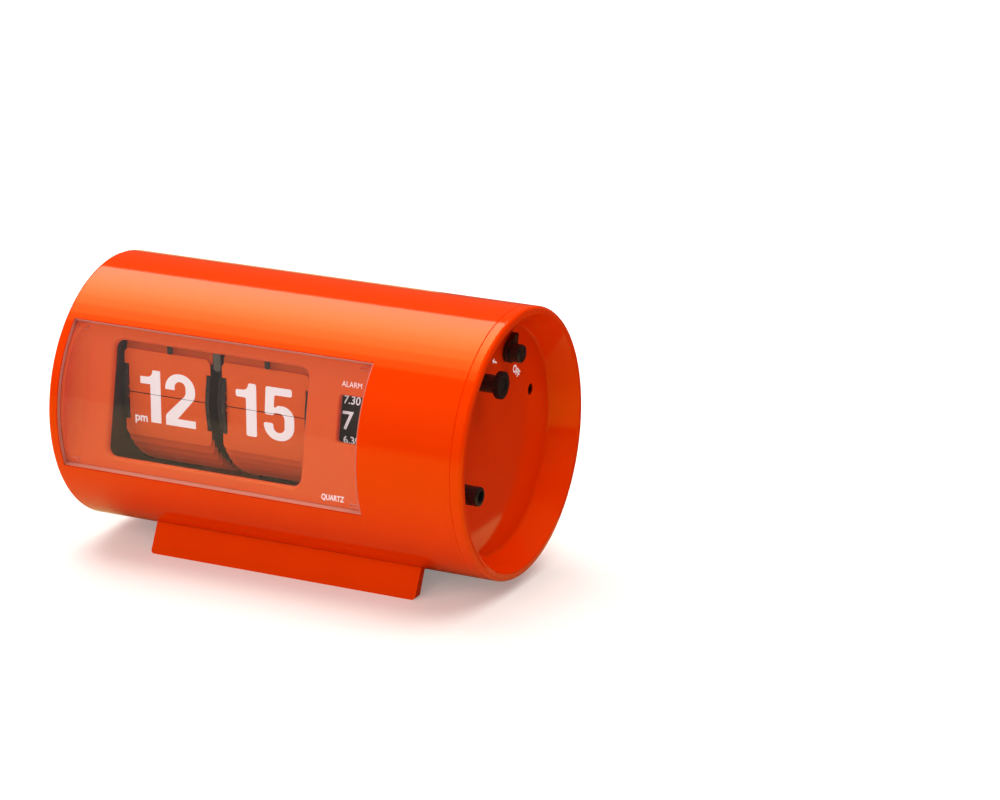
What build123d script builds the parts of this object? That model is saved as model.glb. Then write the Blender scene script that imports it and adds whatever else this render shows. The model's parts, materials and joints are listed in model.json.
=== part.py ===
from build123d import *
import math
import os

# Tube-shaped flip number clock with an alarm, on a low stand.
# Millimetres. X runs along the tube (to the right as seen from the front), the front is -Y, Z is up.
# Every piece is drawn about the tube's own axis and is then lifted by AXIS_HEIGHT, which puts the
# origin under the middle of the tube, on the surface that the stand rests on.

# ---- Casing ----
AXIS_HEIGHT = 48.4
TUBE_R = 44.0
WALL = 2.0
TUBE_INNER_R = TUBE_R - WALL
LEFT_END = -74.6
RIGHT_END = 74.6
RIM_WIDTH = 4.05
SEAM_CHAMFER = 0.22
FIT = 0.05

# ---- Window, tilted back about the tube's axis ----
TILT = 10.9
WINDOW_LEFT = -71.2
WINDOW_RIGHT = 38.2
WINDOW_HALF_ANGLE = 33.35
LENS_GAP = 0.08
LENS_STEP = 0.03
LENS_CHAMFER = 0.3
TAB_SIZE = (3.2, 1.2, 1.2)
TAB_INSET = 3.1
TAB_INSET_ANGLE = 2.2
FACE_DEPTH = 35.0
FACE_THICKNESS = 2.0
FACE_HALF_HEIGHT = 23.0
FACE_END_WALL = 1.2
DISPLAY_OPENING = (-56.6, 14.4, -19.0, 19.0)
ALARM_OPENING = (26.2, 35.2, -2.7, 12.3)

# ---- Right end recess ----
RECESS_DEPTH = 9.5
RECESS_FLOOR_R = 37.5
RECESS_MOUTH_R = 41.33
DISC_THICKNESS = 2.0
DISC_FACE = RIGHT_END - RECESS_DEPTH
DISC_BACK = DISC_FACE - DISC_THICKNESS
SCREW_HEAD = (DISC_FACE - 1.75, DISC_FACE - 0.3)
SCREW_HEAD_R = 1.85
SCREW_BOSS_R = 3.6
SCREW_BOSS_LENGTH = 2.6

# ---- Left end ----
LEFT_CAP = (-74.0, -71.6)
DOOR_R = 7.6
DOOR_RECESS_R = 5.4
DOOR_RECESS = 0.8
DOOR_GRIP = (1.4, 9.2)
DOOR_GRIP_HEIGHT = 1.0

# ---- Drums and leaves, on one axis parallel to the tube's ----
DRUM_Y = -1.0
DRUM_Z = 6.9
DRUM_CENTRE = (DRUM_Y, DRUM_Z)
LEAF_PLANE = 25.46
LEAF_HALF_HEIGHT = 14.6
LEAF_THICKNESS = 0.2
LEAF_NOTCH_DEPTH = 1.6
LEAF_NOTCH_HALF = 9.4
LEAF_CORNER_R = 2.0
LEAF_SHORT_TAIL = 0.5
SPLIT_GAP = 0.17
FLANGE_R = 26.8
FLANGE_THICKNESS = 1.4
FLANGE_SKIN = 0.35
EAR_R = 0.4
EAR_HOLE_R = 0.45
EAR_END_PLAY = 0.1
HOUR_LEAF = (-54.2, -25.4)
MINUTE_LEAF = (-17.9, 10.9)
HOUR_COUNT = 48
MINUTE_COUNT = 60
HOUR_WAITING = 29
HOUR_FALLEN = 11
MINUTE_WAITING = 37
MINUTE_FALLEN = 14
FLANGE_SPACE = 0.2
HUB_R = 4.0
LIGHTENING_HOLES = 6
LIGHTENING_CIRCLE_R = 14.0
LIGHTENING_HOLE_R = 4.5
FINGER_REACH = (17.2, 19.6)
FINGER_HALF_WIDTH = 0.8
FINGER_LENGTH = 0.9
FINGER_TURN = 200
SPINDLE_R = 1.5
RUNNING_BORE_R = SPINDLE_R + FIT
SPINDLE_SPAN = (-66.5, 47.1)

# ---- Frame ----
FRAME_R = 41.8
FRAME_FRONT = 32.8
LEFT_PLATE = (-58.0, -56.8)
CENTRE_PLATE = (-22.4, -21.4)
RIGHT_PLATE = (17.0, 18.2)
END_PLATE = (45.5, 47.0)
PILLARS = [(28.0, 24.0), (10.0, -34.0), (-20.0, -31.0)]
PILLAR_R = 2.0
PILLAR_SCREW_R = 1.0
BUSH_R = 3.0
BUSH_LENGTH = 1.8
BATTERY_CENTRE = (27.0, -18.0)
BATTERY_R = 7.1
BATTERY_TIP = (2.7, 1.0)
BATTERY_SPAN = (-68.6, -18.1)
TRAY_R = 8.3
TRAY_WALL = 0.8
COIL_PITCH = 0.9
COIL_WIRE = 0.5

# ---- Movement ----
CASE_X = (-68.8, -58.0)
CASE_Y = (-24.0, 18.4)
CASE_Z = (-16.0, 30.0)
CASE_WALL = 1.2
BOARD_FACE = -67.3
BOARD_THICKNESS = 1.0
MOTOR_SPAN = (-64.2, -59.2)
MOTOR_R = 6.4
MOTOR_SHAFT_R = 0.75

# ---- Gears: (teeth of the wheel, teeth of its pinion, module) ----
PRESSURE_ANGLE = 20.0
ADDENDUM = 0.7
DEDENDUM = 1.05
BACKLASH = 0.12
TIME_TRAIN = (84, 18, 0.6)
ALARM_TRAIN = (48, 16, 0.6)
HOUR_TRAIN = (72, 12, 0.6)
MOTOR_TRAIN = (48, 12, 0.5)
TIME_GEAR_SPAN = (13.2, 14.8)
ALARM_GEAR_SPAN = (41.5, 43.1)
HOUR_GEAR_SPAN = (-23.7, -22.9)
CARRY_PIN_R = 0.8
OUTPUT_WHEEL_SPAN = (-66.0, -64.6)

# ---- Directions from the drum axis to the other shafts, in degrees from +Y towards +Z ----
TIME_DIRECTION = 212.25
ALARM_DIRECTION = 124.7
CARRY_DIRECTION = 0.0
MOTOR_DIRECTION = 270.0

# ---- Catch bar over the leaves: limits in Y and Z, and the X of each catch tab ----
CATCH_BAR_Y = (-28.0, -26.2)
CATCH_BAR_Z = (25.2, 27.2)
CATCH_TAB_Y = (-28.4, -27.7)
CATCH_TAB_Z = (22.0, 26.0)
CATCH_TAB_HALF = 0.85
CATCH_TAB_X = (-37.7, -1.9)
SIDE_LUG_LOW = 20.1
DETENT_X = (-22.8, -20.1)
DETENT_THICKNESS = 0.3
DETENT_LOW = 17.9

# ---- Alarm ----
ALARM_DRUM = (20.5, 40.0)
ALARM_DRUM_R = 25.3
ALARM_DRUM_WALL = 1.5
ALARM_CAM = (43.4, 44.6)
ALARM_CAM_R = 8.0
SWITCH_CENTRE = (7.0, 27.4)
SWITCH_CAM = (50.0, 52.0)
POINTER_LENGTH = 6.7
POINTER_FROM_UP = 36.0
CAP_SCREW_CENTRE = (24.4, 10.0)
SOUNDER_CENTRE = (8.0, -18.0)
SOUNDER_R = 10.0
SOUNDER_DEPTH = 4.0

# ---- Knobs ----
TIME_KNOB_END = 72.8
TIME_KNOB_R = 3.15
ALARM_KNOB_END = 73.3
ALARM_KNOB_R = 4.4
ALARM_KNOB_RIM = 1.8
ALARM_KNOB_BOSS_R = 2.9
ALARM_KNOB_DISH_R = 2.2
KNURL_COUNT = 32
KNURL_R = 0.35
SWITCH_KNOB_END = 70.8
SWITCH_GRIP_R = 3.0
POINTER_THICKNESS = 1.8
POINTER_BOSS_R = 3.4
POINTER_TIP_R = 0.9
SHAFT_R = 1.5
SHAFT_HOLE_R = SHAFT_R + FIT
KNOB_CLEARANCE = 0.3

# ---- Stand ----
STAND_HALF_LENGTH = 48.7
STAND_TOP = (20.3, -38.0)
STAND_FOOT_HALF = 25.5
STAND_WALL = 3.0
STAND_CORNER_R = 1.2
SADDLE = 2.0
SADDLE_HALF_LENGTH = 42.0
STAND_SCREW_X = (-30.0, 30.0)
STAND_SCREW_R = 1.0
STAND_SCREW_HEAD_R = 2.2
STAND_SCREW_HEAD = 1.4


def save(name, *solids):
    """Lift the piece, or the group of equal pieces, to its place on the ground and write it."""
    lifted = [Pos(0, 0, AXIS_HEIGHT) * solid for solid in solids]
    shape = lifted[0] if len(lifted) == 1 else Compound(children=lifted)
    export_step(shape, f"parts/{name}.step")


def slab(sketch, x_low, x_high):
    """Extrude a (y, z) sketch along X between two stations."""
    return extrude(Plane.YZ.offset(x_low) * sketch, x_high - x_low)


def disc(span, radius, centre=(0, 0), bore=0):
    """Round plate or rod along X, with an optional bore."""
    outline = Pos(*centre) * Circle(radius)
    if bore:
        outline -= Pos(*centre) * Circle(bore)
    return slab(outline, *span)


def block(x_span, y_span, z_span):
    """Box between three pairs of limits."""
    spans = (x_span, y_span, z_span)
    sizes = [high - low for low, high in spans]
    centres = [(high + low) / 2 for low, high in spans]
    return Pos(*centres) * Box(*sizes)


def about_drum(shape, degrees):
    """Turn a piece about the drum axis; positive turns +Y towards +Z."""
    return Pos(0, DRUM_Y, DRUM_Z) * Rot(degrees, 0, 0) * Pos(0, -DRUM_Y, -DRUM_Z) * shape


def tilted(shape):
    """Lean a piece back about the tube's axis by the window's tilt."""
    return Rot(-TILT, 0, 0) * shape


def shaft_centre(train, direction):
    """Centre (y, z) of the pinion of a train, in mesh with the wheel on the drum axis."""
    wheel, pinion, module = train
    distance = module * (wheel + pinion) / 2
    angle = math.radians(direction)
    return DRUM_Y + distance * math.cos(angle), DRUM_Z + distance * math.sin(angle)


TIME_CENTRE = shaft_centre(TIME_TRAIN, TIME_DIRECTION)
ALARM_CENTRE = shaft_centre(ALARM_TRAIN, ALARM_DIRECTION)
CARRY_CENTRE = shaft_centre(HOUR_TRAIN, CARRY_DIRECTION)
MOTOR_CENTRE = shaft_centre(MOTOR_TRAIN, MOTOR_DIRECTION)


# ---------------------------------------------------------------- gears

def tooth_half_angle(radius, teeth, module):
    """Half of a tooth's angle at a radius, from the involute of the pitch circle."""
    pitch_r = module * teeth / 2
    base_r = pitch_r * math.cos(math.radians(PRESSURE_ANGLE))
    pressure = math.radians(PRESSURE_ANGLE)
    here = math.acos(min(1.0, base_r / max(radius, base_r)))
    at_pitch = math.pi / (2 * teeth) - BACKLASH / (2 * pitch_r)
    return at_pitch + (math.tan(pressure) - pressure) - (math.tan(here) - here)


def gear(span, teeth, module, centre, turn, bore):
    """Spur gear along X with one tooth centred on the direction turn, in degrees."""
    pitch_r = module * teeth / 2
    root_r = pitch_r - DEDENDUM * module
    tip_r = pitch_r + ADDENDUM * module
    radii = [root_r, pitch_r - 0.35 * module, pitch_r + 0.2 * module, tip_r]
    points = []
    for tooth in range(teeth):
        middle = 2 * math.pi * tooth / teeth + math.radians(turn)
        rising = [(r, middle - tooth_half_angle(r, teeth, module)) for r in radii]
        falling = [(r, middle + tooth_half_angle(r, teeth, module)) for r in reversed(radii)]
        points += [(r * math.cos(a), r * math.sin(a)) for r, a in rising + falling]
    outline = make_face(Polyline(*points, close=True)) - Circle(bore)
    return slab(Pos(*centre) * outline, *span)


def wheel(span, train, direction, bore):
    """The larger gear of a train, on the drum axis, with a tooth pointing at its pinion."""
    teeth, _, module = train
    return gear(span, teeth, module, DRUM_CENTRE, direction, bore)


def pinion(span, train, direction, bore):
    """The smaller gear of a train, with a gap facing the wheel."""
    _, teeth, module = train
    gap_turn = direction + 180 + 180 / teeth
    return gear(span, teeth, module, shaft_centre(train, direction), gap_turn, bore)


# ---------------------------------------------------------------- casing

def window_sector(outer_r, inner_r, x_span, half_angle):
    """Curved panel of the window, untilted."""
    reach = 2 * TUBE_R
    edge = math.radians(half_angle)
    corner = (-reach * math.cos(edge), reach * math.sin(edge))
    wedge = make_face(Polyline((0, 0), corner, (corner[0], -corner[1]), close=True))
    ring = Circle(outer_r) - Circle(inner_r)
    return slab(ring & wedge, *x_span)


def tube_casing():
    """Outer tube with its rounded left rim, the window and the two stand screw holes."""
    seam = RIGHT_END - RIM_WIDTH
    tube = disc((LEFT_END, seam), TUBE_R, bore=TUBE_INNER_R)
    rim = tube.faces().sort_by(Axis.X)[0].edges()
    tube = fillet(rim.sort_by(SortBy.LENGTH)[-1:], 1.2)
    seam_edges = tube.faces().sort_by(Axis.X)[-1].edges()
    tube = chamfer(seam_edges.sort_by(SortBy.LENGTH)[-1:], SEAM_CHAMFER)
    opening_span = (WINDOW_LEFT, WINDOW_RIGHT)
    tube -= tilted(window_sector(TUBE_R + 1, TUBE_INNER_R - 1, opening_span, WINDOW_HALF_ANGLE))
    for x in STAND_SCREW_X:
        tube -= Pos(x, 0, -TUBE_R) * Cylinder(STAND_SCREW_R + 0.25, 3 * WALL)
    save("tube_casing", tube)


def window_lens():
    """Clear curved window, flush with the tube, with a small locating tab inside each corner."""
    span = (WINDOW_LEFT + LENS_GAP, WINDOW_RIGHT - LENS_GAP)
    half_angle = WINDOW_HALF_ANGLE - math.degrees(LENS_GAP / TUBE_R)
    lens = window_sector(TUBE_R - LENS_STEP, TUBE_INNER_R + FIT, span, half_angle)
    outer_face = lens.faces().filter_by(GeomType.CYLINDER).sort_by(SortBy.AREA)[-1]
    lens = chamfer(outer_face.edges(), LENS_CHAMFER)
    tab_angle = WINDOW_HALF_ANGLE - TAB_INSET_ANGLE
    for x in (span[0] + TAB_INSET, span[1] - TAB_INSET):
        for side in (-1, 1):
            tab = Pos(x, -TUBE_INNER_R - 0.1, 0) * Box(*TAB_SIZE)
            lens += Rot(-side * tab_angle, 0, 0) * tab
    save("window_lens", tilted(lens))


def rounded_opening(opening, radius):
    """Cutter for an opening in the face plate, untilted."""
    x_low, x_high, z_low, z_high = opening
    outline = RectangleRounded(x_high - x_low, z_high - z_low, radius)
    centre = Pos((x_low + x_high) / 2, 0, (z_low + z_high) / 2)
    return centre * extrude(Plane.XZ * outline, amount=TUBE_R)


def soften_opening(plate, opening, radius):
    """Roll the front edge of an opening inwards."""
    x_low, x_high, z_low, z_high = opening
    front = plate.edges().filter_by_position(Axis.Y, -FACE_DEPTH - 0.01, -FACE_DEPTH + 0.01)
    inside = front.filter_by_position(Axis.X, x_low - 0.1, x_high + 0.1)
    inside = inside.filter_by_position(Axis.Z, z_low - 0.1, z_high + 0.1)
    return fillet(inside, radius)


def face_plate():
    """Flat dial plate behind the window, with curved end walls up to the window's edges."""
    left = WINDOW_LEFT + 2 * FIT
    right = WINDOW_RIGHT - 2 * FIT
    depth = TUBE_R - FACE_DEPTH + FACE_THICKNESS
    section = Circle(TUBE_INNER_R - 2 * FIT)
    section &= Pos(-FACE_DEPTH + FACE_THICKNESS - depth / 2, 0) * Rectangle(depth, 2 * FACE_HALF_HEIGHT)
    plate = slab(section, left, right)
    cavity_width = right - left - 2 * FACE_END_WALL
    cavity = Pos((left + right) / 2, -FACE_DEPTH - TUBE_R / 2) * Rectangle(cavity_width, TUBE_R)
    inner_corners = cavity.vertices().group_by(Axis.Y)[-1].sort_by(Axis.X)
    cavity = fillet(inner_corners[0], 4.5)
    inner_corners = cavity.vertices().group_by(Axis.Y)[-1].sort_by(Axis.X)
    cavity = fillet(inner_corners[-1], 1.5)
    plate -= extrude(cavity, amount=TUBE_R, both=True)
    plate -= rounded_opening(DISPLAY_OPENING, 3.0)
    plate -= rounded_opening(ALARM_OPENING, 1.2)
    plate = soften_opening(plate, DISPLAY_OPENING, 1.4)
    plate = soften_opening(plate, ALARM_OPENING, 0.8)
    save("face_plate", tilted(plate))


def right_end_cap():
    """Right rim, tapered recess and control disc, in one moulding."""
    spigot_r = TUBE_INNER_R - FIT
    seam = RIGHT_END - RIM_WIDTH
    profile = Polyline(
        (DISC_BACK, 0), (DISC_FACE, 0), (DISC_FACE, RECESS_FLOOR_R), (RIGHT_END, RECESS_MOUTH_R),
        (RIGHT_END, TUBE_R), (seam, TUBE_R), (seam, spigot_r), (DISC_BACK, spigot_r), close=True)
    cap = revolve(Plane.XZ * make_face(profile), Axis.X)
    mouth = cap.edges().filter_by(GeomType.CIRCLE).group_by(Axis.X)[-1].sort_by(SortBy.LENGTH)
    cap = fillet(mouth[-1], 1.3)
    inner = cap.edges().filter_by(GeomType.CIRCLE).group_by(Axis.X)[-1].sort_by(SortBy.LENGTH)
    cap = fillet(inner[0], 0.5)
    floor = [e for e in cap.edges().filter_by(GeomType.CIRCLE)
             if abs(e.radius - RECESS_FLOOR_R) < 0.01 and abs(e.center().X - DISC_FACE) < 0.01]
    cap = fillet(floor, 1.2)
    outer_seam = [e for e in cap.edges().filter_by(GeomType.CIRCLE)
                  if abs(e.radius - TUBE_R) < 0.01 and abs(e.center().X - seam) < 0.01]
    cap = chamfer(outer_seam, SEAM_CHAMFER)
    hole_span = (DISC_BACK - 1, DISC_FACE + 1)
    for centre in (TIME_CENTRE, ALARM_CENTRE, SWITCH_CENTRE):
        cap -= disc(hole_span, SHAFT_HOLE_R, centre)
    cap += disc((DISC_BACK - SCREW_BOSS_LENGTH, DISC_BACK), SCREW_BOSS_R, CAP_SCREW_CENTRE)
    cap -= disc((SCREW_HEAD[0], DISC_FACE + 1), SCREW_HEAD_R + FIT, CAP_SCREW_CENTRE)
    cap -= disc((DISC_BACK - SCREW_BOSS_LENGTH - 1, DISC_FACE), 1.1, CAP_SCREW_CENTRE)
    save("right_end_cap", cap)


def left_end_cap():
    """Flat cover in the left end, with the round battery hatch hole."""
    cap = disc(LEFT_CAP, TUBE_INNER_R - FIT)
    cap = fillet(cap.edges().filter_by(GeomType.CIRCLE).group_by(Axis.X)[0], 0.6)
    cap -= disc((LEFT_END, LEFT_CAP[1] + 1), DOOR_R + 2 * FIT, BATTERY_CENTRE)
    save("left_end_cap", cap)


def battery_door():
    """Round push-in hatch over the battery, with a finger recess and a raised grip bar."""
    y, z = BATTERY_CENTRE
    width, height = DOOR_GRIP
    door = disc(LEFT_CAP, DOOR_R, BATTERY_CENTRE)
    door -= disc((LEFT_CAP[0] - 1, LEFT_CAP[0] + DOOR_RECESS), DOOR_RECESS_R, BATTERY_CENTRE)
    grip_x = (LEFT_CAP[0], LEFT_CAP[0] + DOOR_GRIP_HEIGHT)
    door += block(grip_x, (y - width / 2, y + width / 2), (z - height / 2, z + height / 2))
    save("battery_door", door)


# ---------------------------------------------------------------- stand

def stand():
    """Two flared walls joined by a slightly shorter curved saddle under the tube."""
    top_y, top_z = STAND_TOP
    outer = make_face(Polyline((-top_y, top_z), (-STAND_FOOT_HALF, -AXIS_HEIGHT),
                               (STAND_FOOT_HALF, -AXIS_HEIGHT), (top_y, top_z), close=True))
    inner = make_face(Polyline((-top_y + STAND_WALL, top_z), (-STAND_FOOT_HALF + STAND_WALL, -AXIS_HEIGHT - 1),
                               (STAND_FOOT_HALF - STAND_WALL, -AXIS_HEIGHT - 1), (top_y - STAND_WALL, top_z),
                               close=True))
    section = outer - Circle(TUBE_R + 0.02)
    section -= inner - Circle(TUBE_R + SADDLE)
    body = slab(section, -STAND_HALF_LENGTH, STAND_HALF_LENGTH)
    ends = body.edges().filter_by(Axis.Y).group_by(Axis.Z)[0]
    body = fillet([e for e in ends if abs(abs(e.center().X) - STAND_HALF_LENGTH) < 0.01], STAND_CORNER_R)
    for side in (-1, 1):
        body -= slab(inner, *sorted((side * SADDLE_HALF_LENGTH, side * (STAND_HALF_LENGTH + 1))))
    for x in STAND_SCREW_X:
        body -= Pos(x, 0, -TUBE_R) * Cylinder(STAND_SCREW_R, 3 * SADDLE)
    save("stand", body)


def stand_screws():
    """Screws from inside the tube down into the saddle."""
    screws = []
    for x in STAND_SCREW_X:
        head = Pos(x, 0, -TUBE_INNER_R + 1.2) * Cylinder(STAND_SCREW_HEAD_R, STAND_SCREW_HEAD)
        shank = Pos(x, 0, -TUBE_INNER_R - 1.35) * Cylinder(STAND_SCREW_R, 4.3)
        slot = Pos(x, 0, -TUBE_INNER_R + 1.9) * Box(3.6, 0.6, 0.8)
        screws.append(head + shank - slot)
    save("stand_screws", *screws)


# ---------------------------------------------------------------- frame

def plate_outline():
    """Round frame plate, cut off flat behind the dial plate."""
    front = Rot(0, 0, -TILT) * Pos(-FRAME_FRONT + TUBE_R, 0) * Rectangle(2 * TUBE_R, 3 * TUBE_R)
    outline = Circle(FRAME_R) & front
    outline -= Pos(*DRUM_CENTRE) * Circle(BUSH_R)
    for centre in PILLARS:
        outline -= Pos(*centre) * Circle(PILLAR_R)
    return outline


def battery_notch():
    """Room for the battery tray in a frame plate."""
    return Pos(*BATTERY_CENTRE) * Circle(TRAY_R + 0.2)


def frame_plates():
    """The four plates that carry the drums and the setting shafts."""
    save("left_frame_plate", slab(plate_outline() - battery_notch(), *LEFT_PLATE))

    front_cut = Pos(-TUBE_R, 0) * Rectangle(2 * TUBE_R, 4 * TUBE_R)
    round_front = Pos(*DRUM_CENTRE) * (Circle(24.0) - Circle(BUSH_R))
    centre = (plate_outline() - battery_notch() - front_cut) + round_front
    for pillar in PILLARS[1:]:
        centre -= Pos(*pillar) * Circle(PILLAR_R)
    centre -= Pos(*CARRY_CENTRE) * Circle(CARRY_PIN_R)
    save("centre_frame_plate", slab(centre, *CENTRE_PLATE))

    time_hole = Pos(*TIME_CENTRE) * Circle(SHAFT_HOLE_R)
    save("right_frame_plate", slab(plate_outline() - time_hole, *RIGHT_PLATE))

    alarm_hole = Pos(*ALARM_CENTRE) * Circle(SHAFT_HOLE_R)
    save("end_frame_plate", slab(plate_outline() - time_hole - alarm_hole, *END_PLATE))


def frame_pillars():
    """Rods that hold the plates apart, with a screw into each end."""
    rods = []
    screws = []
    span = (LEFT_PLATE[0], END_PLATE[1])
    for centre in PILLARS:
        rod = disc(span, PILLAR_R, centre)
        for x_low, x_high, head in ((span[0], span[0] + 6, -1.4), (span[1] - 6, span[1], 1.4)):
            rod -= disc((x_low, x_high), PILLAR_SCREW_R, centre)
            outer = x_low if head < 0 else x_high
            head_span = sorted((outer, outer + head))
            screw = disc((x_low, x_high), PILLAR_SCREW_R, centre) + disc(head_span, 2.6, centre)
            slot_x = sorted((outer + head, outer + head / 2))
            slot = block(slot_x, (centre[0] - 3, centre[0] + 3), (centre[1] - 0.3, centre[1] + 0.3))
            screws.append(screw - slot)
        rods.append(rod)
    save("frame_pillars", *rods)
    save("pillar_screws", *screws)


def spindle_bushes():
    """One brass bush in each plate."""
    bushes = []
    for plate in (LEFT_PLATE, CENTRE_PLATE, RIGHT_PLATE, END_PLATE):
        middle = sum(plate) / 2
        span = (middle - BUSH_LENGTH / 2, middle + BUSH_LENGTH / 2)
        bushes.append(disc(span, BUSH_R, DRUM_CENTRE, bore=RUNNING_BORE_R))
    save("spindle_bushes", *bushes)


def cap_standoff():
    """Post between the end plate and the right end cap, with the screw that holds the cap."""
    span = (END_PLATE[1], DISC_BACK - SCREW_BOSS_LENGTH)
    screw_span = (span[1] - 8, SCREW_HEAD[0])
    post = disc(span, 3.0, CAP_SCREW_CENTRE) - disc((screw_span[0], span[1]), 1.0, CAP_SCREW_CENTRE)
    save("end_cap_standoff", post)
    screw = disc(screw_span, 1.0, CAP_SCREW_CENTRE)
    screw += disc(SCREW_HEAD, SCREW_HEAD_R, CAP_SCREW_CENTRE)
    y, z = CAP_SCREW_CENTRE
    slot_x = (SCREW_HEAD[1] - 0.7, SCREW_HEAD[1] + 1)
    screw -= block(slot_x, (y - 1.2, y + 1.2), (z - 0.25, z + 0.25))
    screw -= block(slot_x, (y - 0.25, y + 0.25), (z - 1.2, z + 1.2))
    save("end_cap_screw", screw)


def catch_bar():
    """Bar over the leaves, with a catch tab for each drum and a side lug at its left end."""
    bar = block((LEFT_PLATE[1], RIGHT_PLATE[0]), CATCH_BAR_Y, CATCH_BAR_Z)
    for x in CATCH_TAB_X:
        bar += catch_tab(x)
    lug_x = (LEFT_PLATE[1], HOUR_LEAF[0] - LEAF_NOTCH_DEPTH - 0.2)
    bar += block(lug_x, CATCH_TAB_Y, (SIDE_LUG_LOW, CATCH_TAB_Z[1]))
    save("catch_bar", bar)


def catch_tab(x):
    """Small tongue with a rounded lower end, in front of the leaf's top edge."""
    tab = block((x - CATCH_TAB_HALF, x + CATCH_TAB_HALF), CATCH_TAB_Y, CATCH_TAB_Z)
    lower = tab.edges().filter_by(Axis.Y).group_by(Axis.Z)[0]
    return fillet(lower, 0.5)


def detent_spring():
    """Bright leaf spring with a rounded tip, hung from the catch bar between the drums."""
    blade_y = (CATCH_BAR_Y[1], CATCH_BAR_Y[1] + DETENT_THICKNESS)
    blade = block(DETENT_X, blade_y, (DETENT_LOW, CATCH_BAR_Z[1]))
    tip = blade.edges().filter_by(Axis.Y).group_by(Axis.Z)[0]
    save("detent_spring", fillet(tip, 1.3))


# ---------------------------------------------------------------- drums and leaves

def flange(leaf_face, side, count, hub_bore):
    """Side disc of a drum, with a blind pivot hole for every leaf and lightening holes."""
    pin_r = LEAF_PLANE / math.cos(math.pi / count)
    lightening = PolarLocations(LIGHTENING_CIRCLE_R, LIGHTENING_HOLES) * Circle(LIGHTENING_HOLE_R)
    plain = Circle(FLANGE_R) - Circle(hub_bore) - lightening
    drilled = plain - PolarLocations(pin_r, count, start_angle=180 / count) * Circle(EAR_HOLE_R)
    outer_face = leaf_face + side * FLANGE_THICKNESS
    skin_face = outer_face - side * FLANGE_SKIN
    inner_span = sorted((leaf_face, skin_face))
    skin_span = sorted((skin_face, outer_face))
    return slab(Pos(*DRUM_CENTRE) * drilled, *inner_span) + slab(Pos(*DRUM_CENTRE) * plain, *skin_span)


def drum(prefix, leaf, count, hub_end, bore, extra=None):
    """Drum core with its left flange and any extra moulded piece, and the separate right flange."""
    left_end = leaf[0] - FLANGE_SPACE - FLANGE_THICKNESS
    core = flange(leaf[0] - FLANGE_SPACE, -1, count, HUB_R) + disc((left_end, hub_end), HUB_R, DRUM_CENTRE)
    core -= disc((left_end - 1, hub_end + 1), bore, DRUM_CENTRE)
    if extra:
        core += extra
    save(f"{prefix}_drum_core", core)
    save(f"{prefix}_drum_flange", flange(leaf[1] + FLANGE_SPACE, 1, count, HUB_R))


def leaf_shape(leaf, count, tail):
    """Upper leaf at the front: an upright card with notched sides and a pivot ear at each side."""
    pin_height = LEAF_PLANE * math.tan(math.pi / count)
    low_x, high_x = leaf
    full_low = low_x - LEAF_NOTCH_DEPTH
    full_high = high_x + LEAF_NOTCH_DEPTH
    foot = pin_height - tail
    card = Pos((low_x + high_x) / 2, (foot + LEAF_HALF_HEIGHT) / 2) * Rectangle(
        high_x - low_x, LEAF_HALF_HEIGHT - foot)
    head = Pos((full_low + full_high) / 2, (LEAF_NOTCH_HALF + LEAF_HALF_HEIGHT) / 2) * Rectangle(
        full_high - full_low, LEAF_HALF_HEIGHT - LEAF_NOTCH_HALF)
    top_corners = head.vertices().group_by(Axis.Y)[-1]
    head = fillet(top_corners, LEAF_CORNER_R)
    solid = extrude(Plane.XZ * (card + head), amount=LEAF_THICKNESS / 2, both=True)
    ear_length = FLANGE_SPACE + FLANGE_THICKNESS - FLANGE_SKIN - EAR_END_PLAY
    for start in (low_x - ear_length, high_x):
        ear = slab(Pos(0, pin_height) * Circle(EAR_R), start, start + ear_length)
        solid += ear
    return Pos(0, DRUM_Y - LEAF_PLANE, DRUM_Z) * solid


def flipped(shape):
    """Mirror an upper piece to below the split line."""
    return Pos(0, 0, 2 * DRUM_Z) * mirror(shape, Plane.XY)


def leaves(prefix, leaf, count, waiting, fallen):
    """The held upper leaf, the showing lower leaf, and the leaves behind both."""
    pitch = 360 / count
    full_tail = LEAF_PLANE * math.tan(math.pi / count) - SPLIT_GAP
    front = leaf_shape(leaf, count, full_tail)
    plain = leaf_shape(leaf, count, LEAF_SHORT_TAIL)
    save(f"{prefix}_upper_leaf", front)
    behind = [about_drum(plain, -pitch * step) for step in range(1, waiting)]
    under = [about_drum(flipped(plain), pitch * step) for step in range(1, fallen)]
    save(f"{prefix}_lower_leaf", flipped(front))
    save(f"{prefix}_waiting_leaves", *behind)
    save(f"{prefix}_fallen_leaves", *under)


def spindle():
    """Steel spindle, turned by the movement; the minute drum is fixed on it."""
    save("spindle", disc(SPINDLE_SPAN, SPINDLE_R, DRUM_CENTRE))


def carry_finger():
    """Finger on the minute drum's left flange that steps the carry pinion once a turn."""
    flange_left = MINUTE_LEAF[0] - FLANGE_SPACE - FLANGE_THICKNESS
    reach = (DRUM_Y + FINGER_REACH[0], DRUM_Y + FINGER_REACH[1])
    width = (DRUM_Z - FINGER_HALF_WIDTH, DRUM_Z + FINGER_HALF_WIDTH)
    return about_drum(block((flange_left - FINGER_LENGTH, flange_left), reach, width), FINGER_TURN)


def drum_gears():
    """Setting wheel of the minute drum and carry wheel of the hour drum."""
    save("minute_setting_wheel", wheel(TIME_GEAR_SPAN, TIME_TRAIN, TIME_DIRECTION, HUB_R))
    save("hour_carry_wheel", wheel(HOUR_GEAR_SPAN, HOUR_TRAIN, CARRY_DIRECTION, HUB_R))


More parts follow.
